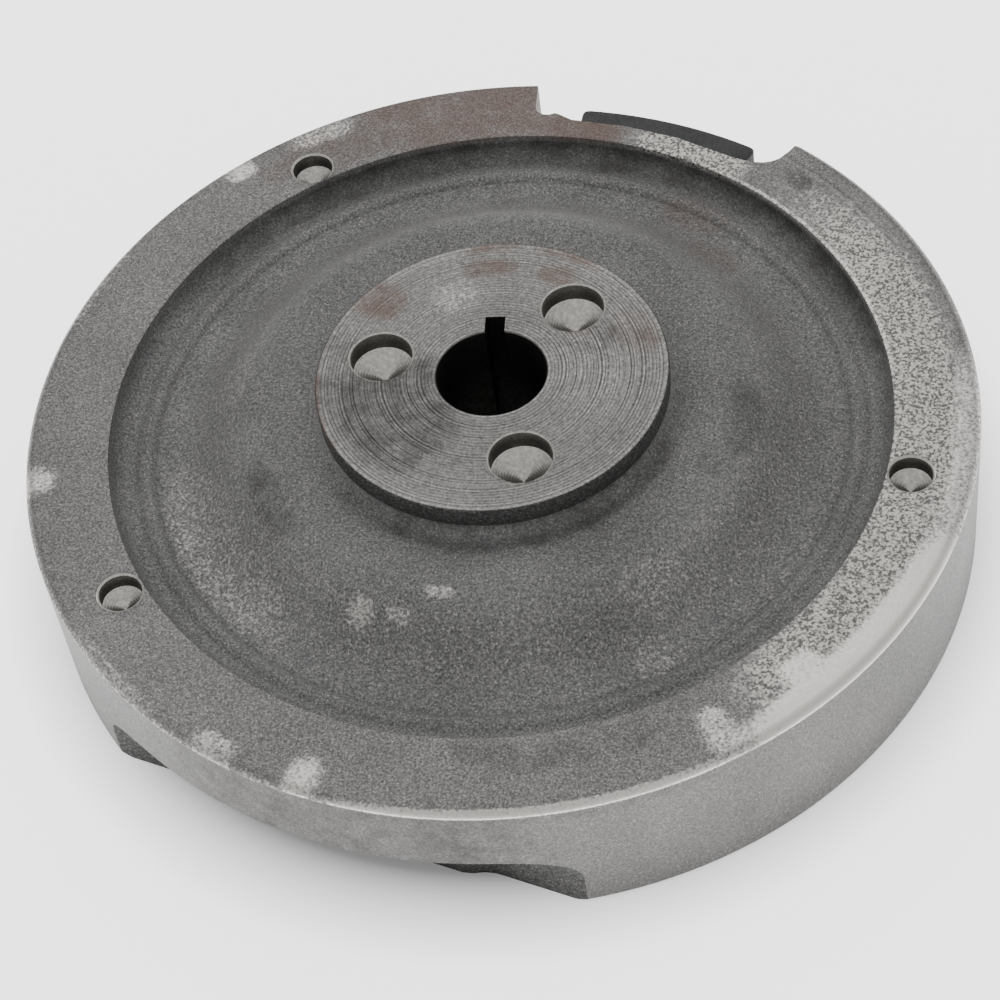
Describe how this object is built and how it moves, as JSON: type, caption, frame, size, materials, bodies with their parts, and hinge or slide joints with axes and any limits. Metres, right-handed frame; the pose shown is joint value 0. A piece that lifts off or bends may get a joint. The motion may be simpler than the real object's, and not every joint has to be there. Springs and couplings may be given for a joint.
{
  "type": "magneto flywheel",
  "caption": "Cast-iron magneto flywheel for a small engine: heavy rim, dished web, turned hub with a keyed tapered bore and blind drive holes, and an ignition magnet pack in a rim slot.",
  "frame": {"origin": "on the axis of rotation, at the rim's lower edge on the engine side, which is the bottom centre of the box", "axes": "+Z along the axis of rotation towards the fan side, +Y through the keyway"},
  "size_m": [0.23, 0.23, 0.0537],
  "materials": {
    "cast_iron": "shot-blasted grey-iron casting, rim face and hub face turned",
    "moulded_charcoal": "charcoal mineral-filled moulding, matte",
    "ferrite": "dull sintered ferrite",
    "lamination_steel": "ground ends of stacked laminations",
    "plated_steel": "zinc-plated steel, satin"
  },
  "bodies": {
    "root": {"flywheel_casting": "cast_iron", "magnet_holder": "moulded_charcoal", "ignition_magnet": "ferrite", "pole_shoe_leading": "lamination_steel", "pole_shoe_trailing": "lamination_steel", "holder_screw_leading": "plated_steel", "holder_screw_trailing": "plated_steel", "lock_washer_leading": "plated_steel", "lock_washer_trailing": "plated_steel"}
  },
  "joints": []
}
